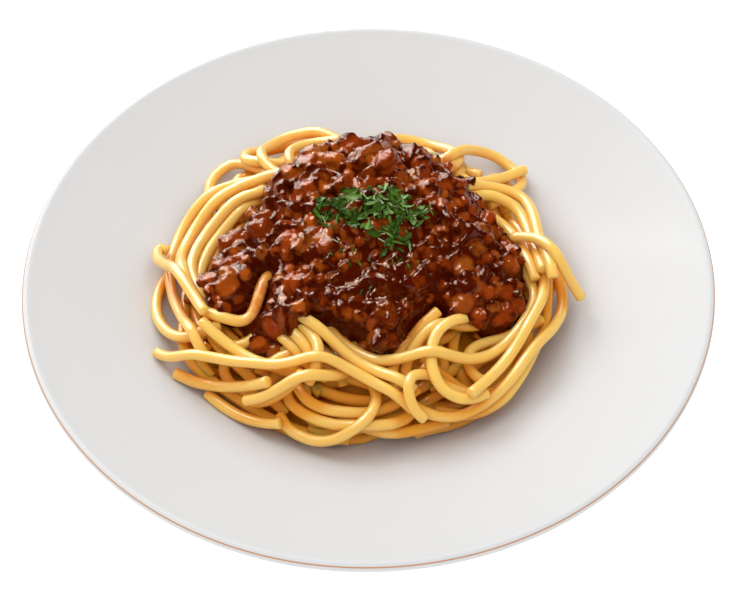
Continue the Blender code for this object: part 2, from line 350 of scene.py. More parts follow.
def fill_ramp(ramp, colours):
    """Sets a colour ramp's stops, from the lowest place to the highest."""
    stops = ramp.color_ramp.elements
    (_, lowest), *between, (_, highest) = colours
    stops[0].color, stops[1].color = rgba(lowest), rgba(highest)
    for position, colour in between:
        stops.new(position).color = rgba(colour)


def glazed_porcelain(plate):
    """Glazed porcelain, turned and glost-fired: an even white with a soft satin sheen and a breath of
    orange peel in the glaze. A tan hair line on the lip's outer slope is a painted reflection of a
    brown table."""
    material, tree, shader = new_material("glazed_porcelain")
    place = add_node(tree, "ShaderNodeTexCoord").outputs["Object"]
    geometry = add_node(tree, "ShaderNodeNewGeometry")
    flat = add_node(
        tree,
        "ShaderNodeVectorMath",
        {".operation": "MULTIPLY", 1: (1, 1, 0)},
        {0: geometry.outputs["Position"]},
    )
    radius = add_node(tree, "ShaderNodeVectorMath", {".operation": "LENGTH"}, {0: flat.outputs["Vector"]})
    # Painted reflection of a brown table: a tan hair line where the lip's face tilts outwards.
    reflection_inner, reflection_outer = plate.radius - 1.2 * MM, plate.radius - 1.0 * MM
    lip = add_node(tree, "ShaderNodeMapRange", {1: reflection_inner, 2: reflection_outer}, {0: radius.outputs["Value"]})
    facing = add_node(tree, "ShaderNodeSeparateXYZ", {}, {0: geometry.outputs["Normal"]})
    table_reflection = lip.outputs[0]
    for start, end in ((0.56, 0.62), (0.80, 0.74)):
        side = add_node(tree, "ShaderNodeMapRange", {1: start, 2: end}, {0: facing.outputs["Z"]})
        narrowed = add_node(tree, "ShaderNodeMath", {".operation": "MULTIPLY"}, {0: table_reflection, 1: side.outputs[0]})
        table_reflection = narrowed.outputs[0]
    cloud = add_node(tree, "ShaderNodeTexNoise", {"Scale": per_metre(60.0)}, {"Vector": place})
    white = add_node(
        tree,
        "ShaderNodeMix",
        {".data_type": "RGBA", 6: rgba(tint(plate.glaze, 0.985)), 7: rgba(plate.glaze)},
        {0: cloud.outputs["Fac"]},
    )
    with_table_reflection = add_node(
        tree, "ShaderNodeMix", {".data_type": "RGBA", 7: rgba(plate.table_reflection)}, {0: table_reflection, 6: white.outputs[2]}
    )
    tree.links.new(with_table_reflection.outputs[2], shader.inputs["Base Color"])
    add_relief(tree, shader, place, 9.0, 0.03, 0.2)
    gloss = {"Roughness": 0.40, "Specular IOR Level": 0.04, "Coat Weight": 0.02, "Coat Roughness": 0.12}
    set_inputs(shader, gloss)
    return material


def boiled_pasta(pasta, name, depth):
    """Boiled durum pasta, extruded through a smooth die: a translucent pale yellow with a moist
    sheen, a fine grain, and an orange stain where it touches the sauce. Down in the nest it turns
    a deeper, darker orange-yellow: painted shade. A depth under one darkens the dough as painted shade."""
    material, tree, shader = new_material(name)
    place = add_node(tree, "ShaderNodeTexCoord").outputs["Object"]
    tone = add_node(tree, "ShaderNodeAttribute", {".attribute_name": "tone"})
    stain = add_node(tree, "ShaderNodeAttribute", {".attribute_name": "stain"})
    sunk = add_node(tree, "ShaderNodeAttribute", {".attribute_name": "deep"})
    mottle = add_node(tree, "ShaderNodeTexNoise", {"Scale": per_metre(7.0)}, {"Vector": place})
    blend = add_node(
        tree,
        "ShaderNodeMath",
        {".operation": "MULTIPLY_ADD", 1: 0.5},
        {0: mottle.outputs["Fac"], 2: tone.outputs["Fac"]},
    )
    low, high = rgba(tint(pasta.dough, 0.93 * depth)), rgba(tint(pasta.dough, 1.04 * depth))
    dough = add_node(tree, "ShaderNodeMix", {".data_type": "RGBA", 6: low, 7: high}, {0: blend.outputs[0]})
    streak = add_node(tree, "ShaderNodeTexNoise", {"Scale": per_metre(2.5)}, {"Vector": place})
    soak_and_shade = add_node(
        tree,
        "ShaderNodeMath",
        {".operation": "MULTIPLY", ".use_clamp": True},
        {0: stain.outputs["Fac"], 1: streak.outputs["Fac"]},
    )
    colour = dough.outputs[2]
    # First the sauce's real stain, then the painted shade of buried strands.
    for amount, over in ((soak_and_shade.outputs[0], pasta.stain), (sunk.outputs["Fac"], pasta.buried_shade)):
        ends = {".data_type": "RGBA", 7: rgba(over)}
        mixed = add_node(tree, "ShaderNodeMix", ends, {0: amount, 6: colour})
        colour = mixed.outputs[2]
    tree.links.new(colour, shader.inputs["Base Color"])
    add_relief(tree, shader, place, 0.9, 0.12, 0.12, 3.0)
    set_inputs(shader, {"Roughness": 0.34, "IOR": 1.42, "Coat Weight": 0.5, "Coat Roughness": 0.2})
    glow = {"Subsurface Weight": 0.7, "Subsurface Radius": (1.0, 0.6, 0.12), "Subsurface Scale": 3.0 * MM}
    set_inputs(shader, glow)
    return material


def meat_ragu(sauce):
    """Minced beef stewed in tomato gravy: near-black red where gravy pools, brown on each crumb,
    orange on diced carrot, all under a wet film of fat that takes small hard lights."""
    material, tree, shader = new_material("meat_ragu")
    place = add_node(tree, "ShaderNodeTexCoord").outputs["Object"]
    crumb = add_node(tree, "ShaderNodeAttribute", {".attribute_name": "crumb"})
    kind = add_node(tree, "ShaderNodeAttribute", {".attribute_name": "kind"})
    ramp = add_node(tree, "ShaderNodeValToRGB", {}, {"Fac": kind.outputs["Fac"]})
    meats = ((0.0, tint(sauce.meat, 0.62)), (0.5, sauce.meat), (0.8, sauce.fat))
    fill_ramp(ramp, (*meats, (0.88, tint(sauce.carrot, 0.9)), (1.0, sauce.carrot)))
    fibre = add_node(tree, "ShaderNodeTexNoise", {"Scale": per_metre(1.6), "Detail": 4.0}, {"Vector": place})
    cover = add_node(
        tree,
        "ShaderNodeMath",
        {".operation": "MULTIPLY_ADD", 1: 0.7, ".use_clamp": True},
        {0: fibre.outputs["Fac"], 2: crumb.outputs["Fac"]},
    )
    edge = add_node(tree, "ShaderNodeMapRange", {1: 0.5, 2: 1.3}, {0: cover.outputs[0]})
    base = add_node(
        tree,
        "ShaderNodeMix",
        {".data_type": "RGBA", 6: rgba(sauce.gravy)},
        {0: edge.outputs[0], 7: ramp.outputs["Color"]},
    )
    tree.links.new(base.outputs[2], shader.inputs["Base Color"])
    add_relief(tree, shader, place, 0.8, 0.22, 0.25)
    set_inputs(shader, {"Roughness": 0.08, "IOR": 1.42, "Specular Tint": rgba(linear("#FFE0C6"))})
    glow = {"Subsurface Weight": 0.2, "Subsurface Radius": (1.0, 0.25, 0.08), "Subsurface Scale": 1.2 * MM}
    set_inputs(shader, glow)
    return material


def cut_parsley(parsley):
    """Flat-leaf parsley, chopped: matt dark green with paler ribs and stalks, a little shine. Flakes
    that stand higher are painted paler and low ones darker: painted light and shade.
    """
    material, tree, shader = new_material("cut_parsley")
    place = add_node(tree, "ShaderNodeTexCoord").outputs["Object"]
    tone = add_node(tree, "ShaderNodeAttribute", {".attribute_name": "tone"})
    ramp = add_node(tree, "ShaderNodeValToRGB", {}, {"Fac": tone.outputs["Fac"]})
    leaf = parsley.leaf
    fill_ramp(ramp, ((0.0, tint(leaf, 0.2)), (0.5, leaf), (0.8, tint(leaf, 1.7)), (1.0, parsley.rib)))
    tree.links.new(ramp.outputs["Color"], shader.inputs["Base Color"])
    add_relief(tree, shader, place, 0.9, 0.3, 0.15)
    set_inputs(shader, {"Roughness": 0.5, "Specular IOR Level": 0.16})
    set_inputs(shader, {"Subsurface Weight": 0.1, "Subsurface Scale": 0.4 * MM})
    return material


def plain_floor(stage):
    """Matt white paper sweep, rolled smooth: no grain that the eye could find. A glow of its own
    keeps the shadows on it faint."""
    material, _, shader = new_material("paper_sweep")
    set_inputs(shader, {"Base Color": rgba(stage.floor), "Roughness": 0.9})
    set_inputs(shader, {"Emission Color": rgba(stage.floor), "Emission Strength": 0.4})
    return material


# Meshes


def add_piece(name, points, faces, material, nodes=(), smooth=True):
    """One finished piece from points in millimetres. It rides on the part's only body."""
    mesh = bpy.data.meshes.new(name)
    mesh.from_pydata((np.asarray(points) * MM).tolist(), [], faces)
    mesh.validate()
    mesh.materials.append(material)
    if smooth:
        mesh.shade_smooth()
    piece = bpy.data.objects.new(name, mesh)
    bpy.context.scene.collection.objects.link(piece)
    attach(piece, "root")
    if nodes:
        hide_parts(*nodes)
    return piece


def add_values(piece, name, values):
    """A number for each point of a piece, for its material to read."""
    attribute = piece.data.attributes.new(name, "FLOAT", "POINT")
    attribute.data.foreach_set("value", np.asarray(values, np.float32))


def tree_of(obj):
    """A search tree over an object's faces, in metres."""
    mesh = obj.data
    return BVHTree.FromPolygons([v.co for v in mesh.vertices], [p.vertices for p in mesh.polygons])


def landing(tree, x, y):
    """Where a thing dropped at a spot in plan lands on a tree's faces, and the normal there."""
    return tree.ray_cast(Vector((x * MM, y * MM, DROP_HEIGHT)), DOWN)[:2]


# The plate


def plate_height(radius, floor_height):
    """Height of the plate's upper face at a radius: the slopes between the stations, summed up."""
    radius = np.asarray(radius, float)
    height = np.full_like(radius, floor_height)
    for (start, slope), (end, next_slope) in zip(PLATE_SLOPES, PLATE_SLOPES[1:]):
        run = np.clip(radius, start, end) - start
        height += run * (slope + (next_slope - slope) * run / (end - start) / 2)
    last_station, last_slope = PLATE_SLOPES[-1]
    return height + np.clip(radius - last_station, 0, None) * last_slope


def plate_section(plate):
    """Half section of the plate in millimetres, from the middle of the well to the middle below."""
    floor_height, thickness = plate.floor_height / MM, plate.body_thickness / MM
    lip = plate.lip_thickness / MM / 2
    centre = plate.radius / MM - lip
    top = plate_height(centre, floor_height) - lip
    well, bends, rim = np.linspace(0, 40, 5), np.arange(44, 84, 1.5), np.arange(84, centre - 0.4, 2.5)
    upper = [(r, plate_height(r, floor_height)) for r in np.concatenate((well, bends, rim))]
    turns = np.radians(np.arange(105, -91, -12))
    edge = [(centre + lip * math.cos(a), top + lip * math.sin(a)) for a in turns]
    under = [(r, plate_height(r, floor_height) - thickness) for r in np.arange(104, 62, -3)]
    recess = floor_height - thickness
    foot = [(60, 5.6), (56, 3.9), (52.6, 3.2), (51.6, 2.6), (50.6, 0.6), (49.8, 0.05), (49.0, 0), (46.0, 0)]
    foot += [(45.2, 0.1), (44.6, 0.7), (43.8, recess - 0.3), (43.0, recess), (20, recess), (0, recess)]
    return np.array(upper + edge + under + foot, float)


def lathe(section, turns):
    """Points and faces of a section spun round the Z axis, closed on the axis at both ends."""
    angles = np.linspace(0, math.tau, turns, endpoint=False)
    rings = section[1:-1]
    points = [(0, 0, section[0][1])]
    for radius, height in rings:
        points += [(radius * math.cos(a), radius * math.sin(a), height) for a in angles]
    points.append((0, 0, section[-1][1]))
    faces = []
    last = len(points) - 1
    for step in range(turns):
        after = (step + 1) % turns
        faces.append((0, 1 + step, 1 + after))
        for ring in range(len(rings) - 1):
            start = 1 + ring * turns
            faces.append((start + step, start + turns + step, start + turns + after, start + after))
        start = 1 + (len(rings) - 1) * turns
        faces.append((start + step, last, start + after))
    return points, faces


# The heap


class Ground:
    """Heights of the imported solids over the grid, in millimetres."""

    FARTHEST = 95
    LEAST_THICKNESS = 0.2

    def __init__(self, floor_height):
        count = int(2 * GRID_HALF / GRID_STEP) + 1
        self.axis = np.linspace(-GRID_HALF, GRID_HALF, count)
        x, y = np.meshgrid(self.axis, self.axis)
        self.plate = plate_height(np.hypot(x, y), floor_height)
        self.nest = self.top_of("spaghetti", self.plate)
        self.sauce = self.top_of("meat_sauce", self.nest)
        self.nest_radius = self.outline(self.nest - self.plate, 5)
        self.sauce_radius = self.outline(self.sauce - self.nest, 3)

    def top_of(self, node, below):
        """Upper face of a node, and the height below where the node isn't."""
        tree = tree_of(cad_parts[node])
        heights = below.copy()
        for row, y in enumerate(self.axis):
            for column, x in enumerate(self.axis):
                spot, _ = landing(tree, x, y)
                if spot is not None:
                    heights[row, column] = spot.z / MM
        return heights

    def outline(self, thickness, window):
        """Distance from the peak to the edge of a layer at each bearing, evened out over a window
        of bearings. The edge is where the layer thins to the least thickness."""
        bearings = np.linspace(-math.pi, math.pi, BEARINGS, endpoint=False)
        radii = np.arange(0, self.FARTHEST, GRID_STEP)
        x = PEAK[0] + np.outer(np.cos(bearings), radii)
        y = PEAK[1] + np.outer(np.sin(bearings), radii)
        depth = sample(thickness, np.column_stack((x.ravel(), y.ravel()))).reshape(x.shape)
        inside = depth > self.LEAST_THICKNESS
        reach = radii[len(radii) - 1 - inside[:, ::-1].argmax(axis=1)]
        half = window // 2
        padded = np.concatenate((reach[-half:], reach, reach[:half]))
        return np.convolve(padded, np.ones(window) / window, "valid")

    def share(self, plan, reach):
        """How far out points lie, as a share of the way from the peak to an outline."""
        offset = np.atleast_2d(plan) - PEAK
        bearing = np.arctan2(offset[:, 1], offset[:, 0])
        position = (bearing + math.pi) / math.tau * len(reach)
        low = np.floor(position).astype(int)
        part = position - low
        edge = reach[low % len(reach)] * (1 - part) + reach[(low + 1) % len(reach)] * part
        return np.hypot(offset[:, 0], offset[:, 1]) / edge


def sample(field, plan):
    """Value of a grid field at points in plan, between the grid's own points."""
    place = (np.atleast_2d(plan) + GRID_HALF) / GRID_STEP
    place = np.clip(place, 0, field.shape[0] - 1.001)
    column, row = place[:, 0].astype(int), place[:, 1].astype(int)
    u, v = place[:, 0] - column, place[:, 1] - row
    low = field[row, column] * (1 - u) + field[row, column + 1] * u
    high = field[row + 1, column] * (1 - u) + field[row + 1, column + 1] * u
    return low * (1 - v) + high * v


def blurred(field, width, rounds):
    """A grid field evened out over a number of cells."""
    half = width // 2
    for _ in range(rounds):
        for axis in (0, 1):
            padded = np.pad(field, [(half, half) if k == axis else (0, 0) for k in (0, 1)], "edge")
            total = np.cumsum(padded, axis)
            total = np.insert(total, 0, 0, axis)
            length = field.shape[axis]
            field = (total.take(range(width, width + length), axis) - total.take(range(length), axis)) / width
    return field


def smooth_route(points, step=ROUTE_STEP):
    """A smooth line through the points of a route, with a point at every step. Its third column
    is the lift off the heap."""
    points = np.array([(*point, 0.0)[:3] for point in points], float)
    padded = np.vstack((2 * points[0] - points[1], points, 2 * points[-1] - points[-2]))
    line = []
    for i in range(1, len(padded) - 2):
        a, b, c, d = padded[i - 1 : i + 3]
        slope, bend, twist = c - a, 2 * a - 5 * b + 4 * c - d, 3 * b - a - 3 * c + d
        for t in np.linspace(0, 1, 12, endpoint=False):
            line.append(0.5 * (2 * b + slope * t + bend * t * t + twist * t**3))
    line.append(padded[-2])
    return even_steps(np.array(line), step)


def even_steps(line, step):
    """The same line with its points a step apart."""
    run = np.concatenate(([0], np.cumsum(np.linalg.norm(np.diff(line[:, :3], axis=0), axis=1))))
    count = max(3, int(round(run[-1] / step)) + 1)
    places = np.linspace(0, run[-1], count)
    return np.stack([np.interp(places, run, line[:, k]) for k in range(line.shape[1])], axis=1)


def eased(height, rounds):
    """Heights along a strand with their kinks taken out."""
    height = height.copy()
    for _ in range(rounds):
        height[1:-1] = 0.5 * height[1:-1] + 0.25 * (height[:-2] + height[2:])
    return height


class Heap:
    """The growing heap. It knows how low the centre of the next strand can lie at each spot.

    A strand sags by SAG at each of SETTLING rounds, until it rests, and then its kinks are eased.
    """

    SAG = 0.012
    SETTLING = 260
    ROUNDING = 10
    END_DROOP = 0.9
    NOWHERE = -1e3

    def __init__(self, surface, diameter):
        slope_y, slope_x = np.gradient(surface, GRID_STEP)
        self.diameter = diameter
        self.lowest = surface + diameter / 2 * np.sqrt(1 + slope_x**2 + slope_y**2)
        reach = int(math.ceil(diameter / GRID_STEP))
        offsets = np.arange(-reach, reach + 1)
        self.patch_x, self.patch_y = (a.ravel() for a in np.meshgrid(offsets, offsets))

    def settle(self, plan):
        """Heights at which a strand comes to rest along its route."""
        floor = sample(self.lowest, plan)
        height = floor.copy()
        for _ in range(self.SETTLING):
            hung = eased(height, 1)
            hung[0] = height[1] + self.END_DROOP * (height[1] - height[2])
            hung[-1] = height[-2] + self.END_DROOP * (height[-2] - height[-3])
            height = np.maximum(floor, hung - self.SAG)
        return eased(height, self.ROUNDING)

    def add(self, plan, height):
        """Raises the heap round a strand that has come to rest."""
        line = even_steps(np.column_stack((plan, height)), GRID_STEP)
        cell = np.round((line[:, :2] + GRID_HALF) / GRID_STEP).astype(int)
        column = cell[:, :1] + self.patch_x
        row = cell[:, 1:] + self.patch_y
        last = len(self.lowest) - 1
        column, row = np.clip(column, 0, last), np.clip(row, 0, last)
        x, y = column * GRID_STEP - GRID_HALF, row * GRID_STEP - GRID_HALF
        away = (x - line[:, :1]) ** 2 + (y - line[:, 1:2]) ** 2
        over = line[:, 2:] + np.sqrt(np.clip(self.diameter**2 - away, 0, None))
        over[away >= self.diameter**2] = self.NOWHERE
        np.maximum.at(self.lowest, (row, column), over)


def squashed(plan, ground, start=0.74, room=0.20):
    """Pulls a route in, so that it turns along the nest's edge and never passes it."""
    share = ground.share(plan, ground.nest_radius)
    over = np.clip(share - start, 0, None)
    wanted = np.minimum(share, start) + room * np.tanh(over / room)
    return PEAK + (plan - PEAK) * (wanted / np.maximum(share, 1e-6))[:, None]


def edge_at(bearings, reach):
    """Distance from the peak to an outline at any bearings."""
    known = np.linspace(0, math.tau, BEARINGS + 1)
    return np.interp((bearings + math.pi) % math.tau, known, np.append(reach, reach[0]))


def ring_route(rng, ground, anchor):
    """A strand that circles in the nest, through a given spot."""
    offset = anchor - PEAK
    middle = math.atan2(offset[1], offset[0])
    drift = rng.uniform(-0.25, 0.25)
    waves = rng.uniform(0.0, 0.04)
    phase = rng.uniform(0, math.tau)
    before, after = rng.uniform(0.15, 1.3, 2)
    t = np.linspace(-before, after, 60)
    angle = middle + t
    reach = edge_at(angle, ground.nest_radius)
    share = ground.share(anchor, ground.nest_radius)[0]
    innermost, outermost = 0.12, 1.1
    out = share + drift * t + waves * (np.sin(4 * t + phase) - math.sin(phase))
    out = np.clip(out, innermost, outermost)
    line = PEAK + (out * reach)[:, None] * np.column_stack((np.cos(angle), np.sin(angle)))
    return even_steps(squashed(line, ground), ROUTE_STEP)


def wandering_half(rng, ground, place, heading, bend, count):
    """One half of a wandering strand, from a spot onwards. Past a share of the way to the edge it is
    pulled back inwards, and it never bends tighter than a boiled strand does."""
    turn_back, tightest = 0.66, 0.16
    line = []
    for _ in range(count):
        bend = 0.95 * bend + rng.normal(0, 0.018)
        inward = PEAK - place
        side = math.cos(heading) * inward[1] - math.sin(heading) * inward[0]
        share = ground.share(place, ground.nest_radius)[0]
        pull = 0.10 * max(0.0, share - turn_back) / 0.2 * math.copysign(1, side)
        heading += float(np.clip(bend + pull, -tightest, tightest)) * ROUTE_STEP
        place = place + ROUTE_STEP * np.array((math.cos(heading), math.sin(heading)))
        line.append(place)
    return line


def wandering_route(rng, ground, anchor):
    """A strand that loops about through a given spot and turns back before the nest's edge."""
    shortest, longest = 6, 34
    heading = rng.uniform(0, math.tau)
    bend = rng.normal(0, 0.05)
    forward = wandering_half(rng, ground, anchor, heading, bend, int(rng.uniform(shortest, longest)))
    opposite = heading + math.pi
    backward = wandering_half(rng, ground, anchor, opposite, -bend, int(rng.uniform(shortest, longest)))
    return even_steps(squashed(np.array(backward[::-1] + [anchor] + forward), ground), ROUTE_STEP)


def crosses_itself(plan, diameter):
    """Whether a route comes back to within a strand of itself."""
    gap = np.linalg.norm(plan[:, None] - plan[None], axis=2)
    number = np.arange(len(plan))
    apart = np.abs(np.subtract.outer(number, number)) * ROUTE_STEP
    neighbours = 2.2 * diameter
    return bool(((gap < diameter) & (apart > neighbours)).any())


def fill(heap, ground, rng, tries, limit, region):
    """Lays strands of chance routes through the holes that are left under the limit. Most of a
    strand has to fit under the limit, and where it doesn't it is pressed down to it."""
    shallowest, fewest_cells, part_that_fits = 0.4, 40, 70
    laid = []
    for number in range(tries):
        holes = np.argwhere((limit - heap.diameter / 2 - heap.lowest > shallowest) & region)
        if len(holes) < fewest_cells:
            break
        anchor = holes[rng.integers(len(holes))][::-1] * GRID_STEP - GRID_HALF
        make = ring_route if number % 5 < 3 else wandering_route
        route = make(rng, ground, anchor)
        if crosses_itself(route, heap.diameter):
            continue
        top = sample(limit, route) - heap.diameter / 2
        if np.percentile(top - sample(heap.lowest, route), part_that_fits) < 0:
            continue
        height = eased(np.minimum(heap.settle(route), top), 4)
        heap.add(route, height)
        laid.append(np.column_stack((route, height)))
    return laid


def tube(line, radius, sides, taper=0.16):
    """Points and faces of one strand with cut ends, round a line in space."""
    along = np.gradient(line, axis=0)
    along /= np.linalg.norm(along, axis=1)[:, None]
    side = np.cross(along[0], (0.0, 0.0, 1.0))
    if np.linalg.norm(side) < 1e-3:
        side = np.array((1.0, 0.0, 0.0))
    angles = np.linspace(0, math.tau, sides, endpoint=False)
    circle = np.column_stack((np.cos(angles), np.sin(angles)))
    rings = []
    for centre, forward, thick in zip(line, along, radius):
        side = side - forward * side.dot(forward)
        side /= np.linalg.norm(side)
        up = np.cross(forward, side)
        rings.append(centre + thick * (circle[:, :1] * side + circle[:, 1:] * up))
    first = line[0] + (rings[0] - line[0]) * (1 - taper) - along[0] * radius[0] * taper
    last = line[-1] + (rings[-1] - line[-1]) * (1 - taper) + along[-1] * radius[-1] * taper
    points = np.concatenate([first, *rings, last])
    faces = []
    for ring in range(len(rings) + 1):
        start = ring * sides
        for i in range(sides):
            after = (i + 1) % sides
            faces.append((start + i, start + after, start + sides + after, start + sides + i))
    end = len(points) - sides
    faces.append(tuple(range(sides - 1, -1, -1)))
    faces.append(tuple(range(end, end + sides)))
    return points, faces


def strands_piece(name, lines, pasta, ground, heap, rng, material):
    """All the strands of one layer of the nest as one piece. A strand swells and thins a little
    along its length. It is stained by the sauce's edge, most where it lies low, and is painted
    deeper and darker, as painted shade, where other strands bury it."""
    points, faces, tones = [], [], []
    count = 0
    base = pasta.strand_diameter / MM / 2
    for line in lines:
        wave = rng.uniform(0, math.tau, 2)
        run = np.arange(len(line)) * ROUTE_STEP
        swell = 1 + 0.018 * np.sin(run / 9 + wave[0]) + 0.012 * np.sin(run / 4 + wave[1])
        body, skin = tube(line, base * rng.uniform(0.96, 1.03) * swell, 12)
        points.append(body)
        faces += [tuple(count + i for i in face) for face in skin]
        count += len(body)
        tones.append(np.full(len(body), rng.uniform(0.0, 0.6)))
    points = np.concatenate(points)
    inside = ground.share(points[:, :2], ground.sauce_radius)
    stains = np.clip(1 - (inside - 0.98) / 0.08, 0, 1)
    stains *= np.clip((sample(ground.sauce, points[:, :2]) - points[:, 2] + 1) / 3, 0.3, 1)
    piece = add_piece(name, points, faces, material)
    add_values(piece, "tone", np.concatenate(tones))
    add_values(piece, "stain", stains * 1.3)
    # Painted shade: the deeper a point lies under the heap's top, the more of the buried-shade colour it
    # takes.
    buried = sample(blurred(heap.lowest, 9, 2), points[:, :2]) - base - points[:, 2]
    unshaded_depth, soak_and_shade, most = 0.8, 9.0, 0.75
    add_values(piece, "deep", np.clip((buried - unshaded_depth) / soak_and_shade, 0, most))
    return piece


def trimmed(line, ground, depth=0.80):
    """The stretches of a strand that can show, without what lies deep under the sauce."""
    keep = ground.share(line[:, :2], ground.sauce_radius) > depth
    runs, start = [], None
    for i, kept in enumerate(keep):
        if kept and start is None:
            start = i
        if start is not None and (not kept or i == len(keep) - 1):
            if i - start > 5:
                runs.append(line[start : i + 1])
            start = None
    return runs


def core_surface(ground, depth):
    """Top of the plain core that the strands lie on, well below the nest's own surface."""
    x, y = np.meshgrid(ground.axis, ground.axis)
    plan = np.column_stack((x.ravel(), y.ravel()))
    share = ground.share(plan, ground.nest_radius).reshape(x.shape)
    thick = ground.nest - ground.plate - depth
    return ground.plate + np.clip(thick, 0, None) * np.clip((0.88 - share) / 0.14, 0, 1)


def core_piece(ground, core, material):
    """The core as a closed mound that stands a hair over the plate."""
    turns, shares = 72, (0.15, 0.3, 0.45, 0.58, 0.68, 0.75, 0.8, 0.84, 0.87)
    hair, cover = 0.05, 0.3
    angles = np.linspace(-math.pi, math.pi, turns, endpoint=False)
    reach = edge_at(angles, ground.nest_radius)
    points = [(*PEAK, sample(core, PEAK)[0])]
    for share in shares:
        circle = PEAK + (share * reach)[:, None] * np.column_stack((np.cos(angles), np.sin(angles)))
        points += np.column_stack((circle, sample(core, circle) + cover)).tolist()
    points += np.column_stack((circle, sample(ground.plate, circle) + hair)).tolist()
    points.append((*PEAK, sample(ground.plate, PEAK)[0] + hair))
    faces = []
    for step in range(turns):
        after = (step + 1) % turns
        faces.append((0, 1 + step, 1 + after))
        for ring in range(len(shares)):
            start = 1 + ring * turns
            faces.append((start + step, start + turns + step, start + turns + after, start + after))
        start = 1 + len(shares) * turns
        faces.append((start + step, len(points) - 1, start + after))
    piece = add_piece("nest_core", points, faces, material)
    # The core is painted in full shade: darkened dough with all of the buried-shade colour.
    for name, value in (("tone", 0.0), ("stain", 0.0), ("deep", 1.0)):
        add_values(piece, name, np.full(len(points), value))


# The sauce


def superquadric(rng):
    """A crumb of mince: a rounded lump between a ball and a cube, dented at random. A power of two
    is a ball and a high one is a cube."""
    steps = 5
    grid = np.linspace(-1, 1, steps + 1)
    points, index, faces = [], {}, []
    for axis in range(3):
        for sign in (-1, 1):
            ids = np.zeros((steps + 1, steps + 1), int)
            for i, u in enumerate(grid):
                for j, v in enumerate(grid):
                    spot = [0.0, 0.0, 0.0]
                    spot[axis], spot[(axis + 1) % 3], spot[(axis + 2) % 3] = sign, u, v
                    key = tuple(round(c, 3) for c in spot)
                    if key not in index:
                        index[key] = len(points)
                        points.append(spot)
                    ids[i, j] = index[key]
            for i in range(steps):
                for j in range(steps):
                    face = (ids[i, j], ids[i + 1, j], ids[i + 1, j + 1], ids[i, j + 1])
                    faces.append(face if sign > 0 else face[::-1])
    points = np.array(points)
    power = rng.uniform(2.4, 8.0)
    points /= (np.abs(points) ** power).sum(axis=1)[:, None] ** (1 / power)
    dents = 4
    for _ in range(dents):
        wave = rng.normal(0, 1.7, 3)
        points *= 1 + rng.uniform(0.05, 0.17) * np.sin(points @ wave + rng.uniform(0, math.tau))[:, None]
    return points, faces


def random_turn(rng):
    """A rotation matrix with no favoured direction."""
    matrix, _ = np.linalg.qr(rng.normal(size=(3, 3)))
    return matrix * np.sign(np.linalg.det(matrix))


def scattered(rng, count, gap, inside, half=75.0, tries=40):
    """Points in plan no nearer to each other than a gap, where inside() allows them."""
    kept = np.zeros((0, 2))
    for spot in rng.uniform(-half, half, (count * tries, 2)):
        if len(kept) >= count:
            break
        if not inside(spot):
            continue
        if len(kept) and np.min(np.sum((kept - spot) ** 2, axis=1)) < gap**2:
            continue
        kept = np.vstack((kept, spot))
    return kept


def off_partings(plan):
    """Distance in plan from points to the strands that part the sauce."""
    line = np.concatenate([smooth_route(route, 0.8)[:, :2] for route in PARTINGS])
    plan = np.atleast_2d(plan)
    return np.sqrt(((plan[:, None] - line[None]) ** 2).sum(axis=2).min(axis=1))


def wavy(plan, seed, size):
    """Smooth chance values between -1 and 1 over the plan, with hills of a given size."""
    waves, highest = 9, 4.2
    rng = np.random.default_rng(seed)
    plan = np.atleast_2d(plan)
    total = np.zeros(len(plan))
    for _ in range(waves):
        angle, phase = rng.uniform(0, math.tau, 2)
        length = size * rng.uniform(0.7, 1.6)
        total += np.sin(math.tau * (plan @ (math.cos(angle), math.sin(angle))) / length + phase)
    return total / highest


def hill(plan, x, y, wide, deep):
    """A smooth hill of height one over the plan, from its middle and its half widths."""
    return np.exp(-(((plan[:, 0] - x) / wide) ** 2 + ((plan[:, 1] - y) / deep) ** 2))


